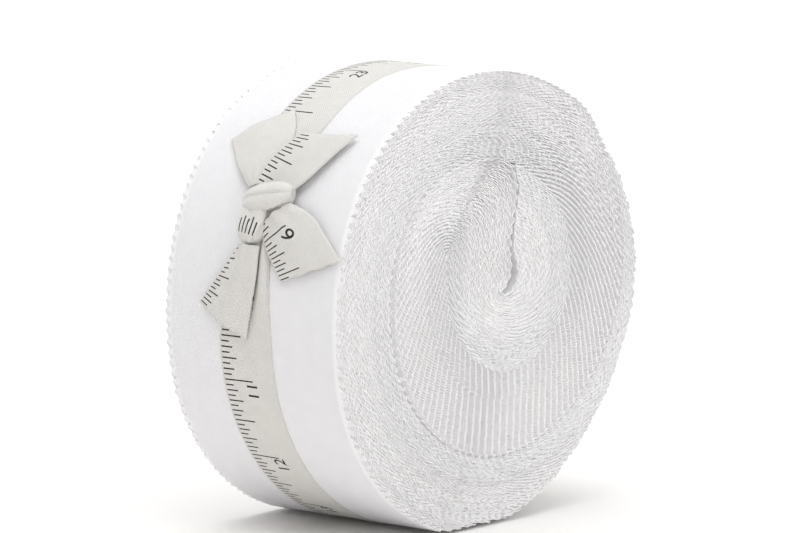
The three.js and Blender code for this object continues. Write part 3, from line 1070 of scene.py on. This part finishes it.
def number_shape(text, size):
    """Points and faces of a number that lies flat, with its middle at 0."""
    curve = bpy.data.curves.new("number", "FONT")
    curve.body, curve.size, curve.extrude = text, size, PRINT_THICK / 2
    curve.align_x, curve.align_y = "CENTER", "CENTER"
    writing = bpy.data.objects.new("number", curve)
    flat = bpy.data.meshes.new_from_object(writing)
    points = np.array([v.co for v in flat.vertices])
    faces = [list(face.vertices) for face in flat.polygons]
    bpy.data.objects.remove(writing)
    bpy.data.meshes.remove(flat)
    return points, faces


print("prints are", PRINT_THICK, "mm thick")

# %% [markdown]
# ## Numbers that bend with the tape
#
# Each point of a number is moved to its place on the tape's printed side, so
# the number follows the cloth below it.

# %% Numbers printed on the tape
BAND_NUMBERS = range(10, 24)       # at the inch marks, from the first one after the knot
BAND_BESIDE = 2.9                  # from the inch mark to the middle of its number
BAND_NUMBER_DOWN = 10.2            # from the marked edge to the middle of the number
BAND_NUMBER_SIZE = 5.6
END_NUMBER_AT = 27.9               # on the scale of the lower right end
END_NUMBER_DOWN = 9.0
END_NUMBER_SIZE = 6.4


def number_on(sheet, text, along_at, across_at, size, turned=False):
    """Print a number whose top is towards the marked edge, or away from it."""
    at, faces = number_shape(text, size)
    if turned:
        at[:, :2] *= -1
    top, normal, along, across = SHEETS[sheet]
    rows = np.arange(len(along))
    if along[-1] < along[0]:
        along, rows = along[::-1], rows[::-1]
    row = np.interp(along_at - at[:, 0], along, rows)
    column = np.interp(across_at - at[:, 1], across, np.arange(len(across)))
    i = np.minimum(row.astype(int), len(along) - 2)
    j = np.minimum(column.astype(int), len(across) - 2)
    u, w = (row - i)[:, None], (column - j)[:, None]

    def between(grid):
        return ((grid[i, j] * (1 - u) + grid[i + 1, j] * u) * (1 - w)
                + (grid[i, j + 1] * (1 - u) + grid[i + 1, j + 1] * u) * w)

    vertices = between(top) + between(normal) * (at[:, 2:] + PRINT_THICK / 2)
    flat = np.stack([along_at - at[:, 0], across_at - at[:, 1]], 1) * MM
    return mesh_object(f"{sheet}_number_{text}", vertices, faces, flat, smooth=False)


first_inch = math.ceil(SHEETS["tape_band"][2][0] / INCH) * INCH
numbers = {"ribbon_band": [], "ribbon_end_lower_right": []}
for k, number in enumerate(BAND_NUMBERS):
    at = first_inch + INCH * k + BAND_BESIDE
    made = number_on("tape_band", str(number), at, BAND_NUMBER_DOWN, BAND_NUMBER_SIZE)
    numbers["ribbon_band"].append(made)
made = number_on("tape_end_lower_right", "9", END_NUMBER_AT, END_NUMBER_DOWN, END_NUMBER_SIZE, turned=True)
numbers["ribbon_end_lower_right"].append(made)
print(sum(len(made) for made in numbers.values()), "numbers")

# %% [markdown]
# ## Nodes of a material
#
# A material is a tree of small steps that hand values on to each other. Three
# helpers keep the tree below readable: one adds a step, one adds a sum or a
# sine, and one joins two steps by the names of their sockets.

# %% Helpers for nodes
def link(tree, a, out, b, into):
    tree.links.new(a.outputs[out], b.inputs[into])


def node(tree, kind, **settings):
    made = tree.nodes.new(kind)
    for key, value in settings.items():
        setattr(made, key, value)
    return made


def math_node(tree, operation, *values):
    """One step of arithmetic on plain numbers or on the outputs of other steps."""
    made = node(tree, "ShaderNodeMath", operation=operation)
    for place, value in enumerate(values):
        if isinstance(value, (int, float)):
            made.inputs[place].default_value = value
        else:
            tree.links.new(value, made.inputs[place])
    return made.outputs[0]


# %% [markdown]
# ## Woven cotton
#
# Both cloths are plain-weave cotton, so both are built from the same idea: two
# sets of threads, one along the cloth and one across it, that push the surface
# up in turn. A picture of cloth would do from far off, but sines in the cloth's
# own lengths stay sharp from near by and follow every bend. A noise on top
# stands for the thick and thin places of the yarn.

# %% Woven cloth
def woven(name, light, shade, thread, bump, painted_lighter=None, rough=0.9, sheen=0.15):
    """Cotton with threads so many millimetres wide, light on top of them and shaded between."""
    material = bpy.data.materials.new(name)
    material.use_nodes = True
    tree = material.node_tree
    shader = tree.nodes["Principled BSDF"]
    shader.inputs["Roughness"].default_value = rough
    shader.inputs["Specular IOR Level"].default_value = 0.15
    shader.inputs["Sheen Weight"].default_value = sheen
    shader.inputs["Sheen Roughness"].default_value = 0.5
    cloth_map = node(tree, "ShaderNodeUVMap", uv_map="cloth")
    split = node(tree, "ShaderNodeSeparateXYZ")
    link(tree, cloth_map, "UV", split, "Vector")
    along, across = split.outputs["X"], split.outputs["Y"]
    turn = 2 * math.pi / (thread * 2 * MM)
    warp = math_node(tree, "SINE", math_node(tree, "MULTIPLY", along, turn))
    weft = math_node(tree, "SINE", math_node(tree, "MULTIPLY", across, turn))
    weave = math_node(tree, "MULTIPLY", warp, weft)
    slub = node(tree, "ShaderNodeTexNoise", noise_dimensions="3D")
    slub.inputs["Scale"].default_value = 260.0
    slub.inputs["Detail"].default_value = 3.0
    link(tree, node(tree, "ShaderNodeTexCoord"), "Object", slub, "Vector")
    height = math_node(tree, "ADD", math_node(tree, "MULTIPLY", weave, 0.5), slub.outputs["Fac"])
    relief = node(tree, "ShaderNodeBump")
    relief.inputs["Strength"].default_value = bump
    relief.inputs["Distance"].default_value = 0.12 * MM
    tree.links.new(height, relief.inputs["Height"])
    link(tree, relief, "Normal", shader, "Normal")
    mix = node(tree, "ShaderNodeMix", data_type="RGBA")
    mix.inputs["A"].default_value = (*shade, 1)
    mix.inputs["B"].default_value = (*light, 1)
    tree.links.new(math_node(tree, "MULTIPLY_ADD", weave, 0.25, slub.outputs["Fac"]), mix.inputs["Factor"])
    colour = mix.outputs["Result"]
    # Painted light: a paler band along the cut edges.
    if painted_lighter:
        colour = pale_rim(tree, colour, across, painted_lighter)
    tree.links.new(colour, shader.inputs["Base Color"])
    return material


# %% [markdown]
# ## Paler cut edges, painted light
#
# A pinked edge is all bare thread ends, which scatter the light and look whiter
# than the cloth. That light is painted into the colour: it turns paler in a
# narrow band along both edges, which also makes the face, all cut edges,
# brighter than its lighting would.

# %% Paler cut edges, painted light
# The band along each edge where light is painted into the colour.
RIM_DEEP = 1.2                     # middle of the band of thread ends, from the edge
RIM_WIDE = 1.5                     # half of its width
RIM_FULL = 0.25                    # and half of the part with all of its colour


def pale_rim(tree, colour, across, tint):
    """The colour, with a paler band of painted light along both long edges of a strip."""
    half = STRIP_WIDTH / 2 * MM
    from_middle = math_node(tree, "ABSOLUTE", math_node(tree, "SUBTRACT", across, half))
    from_rim = math_node(tree, "SUBTRACT", half, from_middle)
    from_deep = math_node(tree, "ABSOLUTE", math_node(tree, "SUBTRACT", from_rim, RIM_DEEP * MM))
    edge = node(tree, "ShaderNodeMapRange", interpolation_type="SMOOTHSTEP")
    tree.links.new(from_deep, edge.inputs["Value"])
    edge.inputs["From Min"].default_value = RIM_WIDE * MM
    edge.inputs["From Max"].default_value = RIM_FULL * MM
    painted_light_mix = node(tree, "ShaderNodeMix", data_type="RGBA")
    tree.links.new(edge.outputs["Result"], painted_light_mix.inputs["Factor"])
    tree.links.new(colour, painted_light_mix.inputs["A"])
    painted_light_mix.inputs["B"].default_value = (*tint, 1)
    return painted_light_mix.outputs["Result"]


print("paler over", RIM_DEEP + RIM_WIDE, "mm from the edge")

# %% [markdown]
# ## Three finishes
#
# The strips are bleached white with a cool tint. The tape isn't bleached, so it
# is cream, and the ink on it is near black. The ink has soaked into the threads,
# so it keeps their relief and only loses their sheen.

# %% The three materials
STRIP_THREAD = 0.36
TAPE_THREAD = 0.40
# The strips' paler rim colour is painted light on the cut edges.
strip_cotton = woven("strip cotton", (0.86, 0.855, 0.87), (0.80, 0.795, 0.815), STRIP_THREAD, 0.4,
                     painted_lighter=(0.915, 0.908, 0.912))
tape_cotton = woven("unbleached tape cotton", (0.755, 0.74, 0.71), (0.68, 0.665, 0.635), TAPE_THREAD, 0.8)
ink = woven("tape ink", (0.045, 0.042, 0.045), (0.025, 0.023, 0.025), TAPE_THREAD, 0.8, rough=0.7, sheen=0.0)
print("materials:", strip_cotton.name + ",", tape_cotton.name + ",", ink.name)

# %% [markdown]
# ## Each piece gets its material
#
# The pieces of the tape take two materials, first the cotton and then the ink.
# Their meshes already say for every face which of the two it has. The numbers
# are ink all over.

# %% Give the materials out
for strip in strips:
    strip.data.materials.append(strip_cotton)
for piece in [tape_band, *tape_ends.values(), knot_upper, knot_neck]:
    piece.data.materials.append(tape_cotton)
    piece.data.materials.append(ink)
for printed in numbers.values():
    for number in printed:
        number.data.materials.append(ink)
print(len(strips), "strips,", 3 + len(tape_ends), "pieces of tape")

# %% [markdown]
# ## Which piece stands for which part of the frame
#
# Every piece rides on the one body, and the solid that it takes the place of
# is hidden.

for strip in strips:
    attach(strip, "root")
    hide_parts("roll")

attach(tape_band, "root")
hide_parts("ribbon_band")
for end_name, piece in tape_ends.items():
    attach(piece, "root")
    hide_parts(f"ribbon_end_{end_name}")
for piece in (knot_upper, knot_neck):
    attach(piece, "root")
    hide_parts("ribbon_knot")
for node_name, printed in numbers.items():
    for number in printed:
        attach(number, "root")
        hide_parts(node_name)
print("pieces on the one body:", len(strips) + 3 + len(tape_ends) + sum(map(len, numbers.values())))

# %% [markdown]
# ## The table
#
# The roll stands on a white table that has no edge in the picture. A large
# plain square does for that. It rides on no body, so it isn't part of the roll.

# %% Floor
FLOOR_HALF = 3                     # in metres, far past the edges of any picture
corners = [(x * FLOOR_HALF, y * FLOOR_HALF, 0) for x, y in ((-1, -1), (1, -1), (1, 1), (-1, 1))]
floor_mesh = bpy.data.meshes.new("floor")
floor_mesh.from_pydata(corners, [], [(0, 1, 2, 3)])
floor = bpy.data.objects.new("floor", floor_mesh)
bpy.context.scene.collection.objects.link(floor)
floor_paint = bpy.data.materials.new("white table")
floor_paint.use_nodes = True
floor_shader = floor_paint.node_tree.nodes["Principled BSDF"]
floor_shader.inputs["Base Color"].default_value = (0.93, 0.915, 0.898, 1)
floor_shader.inputs["Roughness"].default_value = 0.8
floor_mesh.materials.append(floor_paint)
print("floor", 2 * FLOOR_HALF, "m square")

# %% [markdown]
# ## Light
#
# The photograph is nearly all white: a white floor, a white background, and
# soft light from all round. Most of it comes from above and comes back up off
# the floor. A wide lamp a little to the right of the face draws a bright line
# down each ridge of teeth, and two weak ones fill the face and the side with
# the knot. One from behind keeps the other face as bright. White cloth on white
# needs those small differences, or its folds disappear.

# %% Lights
# Azimuth and elevation it comes from, strength, and width of its patch of sky, in degrees.
LIGHTS = {"overhead light": (-80, 84, 1.95, 60), "front light": (-20, 12, 0.34, 60),
          "low left light": (-100, 6, 0.20, 60), "right light": (16, 22, 1.0, 80),
          "back light": (160, 25, 0.95, 80)}


def soft_sun(name, azimuth, elevation, strength, wide):
    """Light that comes from a wide patch of sky and is as strong everywhere."""
    data = bpy.data.lights.new(name, "SUN")
    data.energy, data.angle = strength, math.radians(wide)
    lamp = bpy.data.objects.new(name, data)
    _, _, toward = camera_axes(azimuth, elevation)
    lamp.location = Vector(toward * 2.0)
    lamp.rotation_mode = "QUATERNION"
    lamp.rotation_quaternion = Vector(-toward).to_track_quat("-Z", "Y")
    bpy.context.scene.collection.objects.link(lamp)


for light_name, place in LIGHTS.items():
    soft_sun(light_name, *place)
world = bpy.data.worlds.new("white room")
world.use_nodes = True
white = world.node_tree.nodes["Background"]
white.inputs["Color"].default_value = (1, 1, 1, 1)
white.inputs["Strength"].default_value = 0.35
bpy.context.scene.world = world
bpy.context.scene.view_settings.view_transform = "Standard"
print("lights:", ", ".join(LIGHTS))
